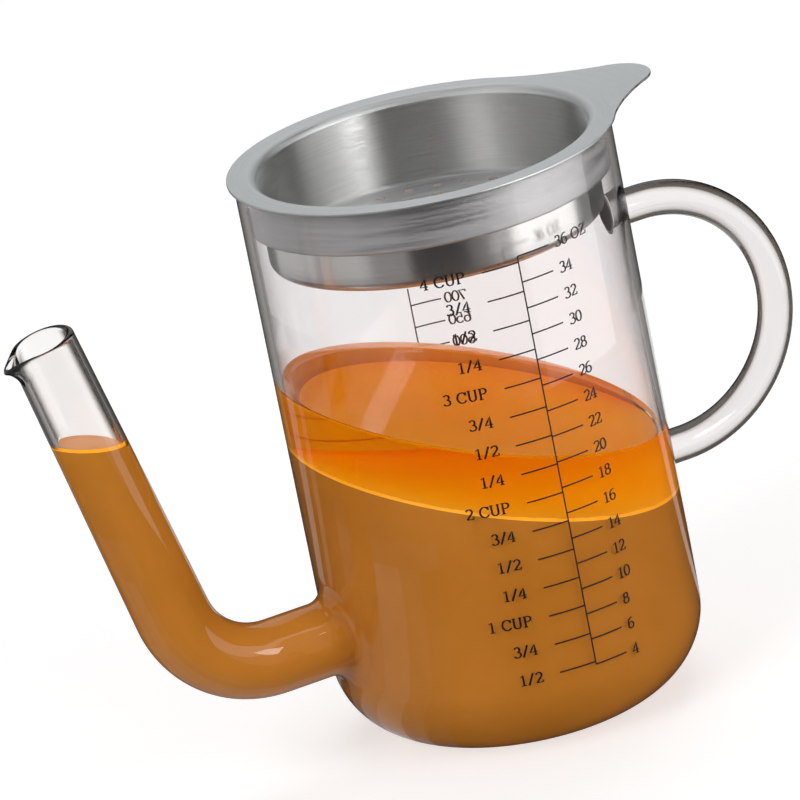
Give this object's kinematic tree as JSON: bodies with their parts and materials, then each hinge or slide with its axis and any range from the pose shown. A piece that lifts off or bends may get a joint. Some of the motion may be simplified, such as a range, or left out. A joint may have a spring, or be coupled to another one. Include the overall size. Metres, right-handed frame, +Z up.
{
  "type": "gravy fat separator",
  "caption": "Clear glass gravy fat separator: round jug with a low bent pouring spout, loop handle and a lift-out perforated steel strainer.",
  "frame": {"origin": "middle of the jug's flat base, on the surface it stands on", "axes": "+Z up along the jug's axis; the spout leaves the jug towards -X and the handle towards +X"},
  "size_m": [0.2261, 0.1054, 0.1609],
  "materials": {
    "glass": "clear fire-polished borosilicate",
    "steel": "satin brushed stainless"
  },
  "bodies": {
    "jug": {"jug_body": "glass", "spout": "glass", "handle": "glass"},
    "strainer": {"strainer_cup": "steel", "strainer_collar": "steel"}
  },
  "joints": [
    {"name": "strainer_lift", "type": "slide", "parent": "jug", "child": "strainer", "axis": [0, 0, 1], "range_m": [0, 0.06]}
  ]
}
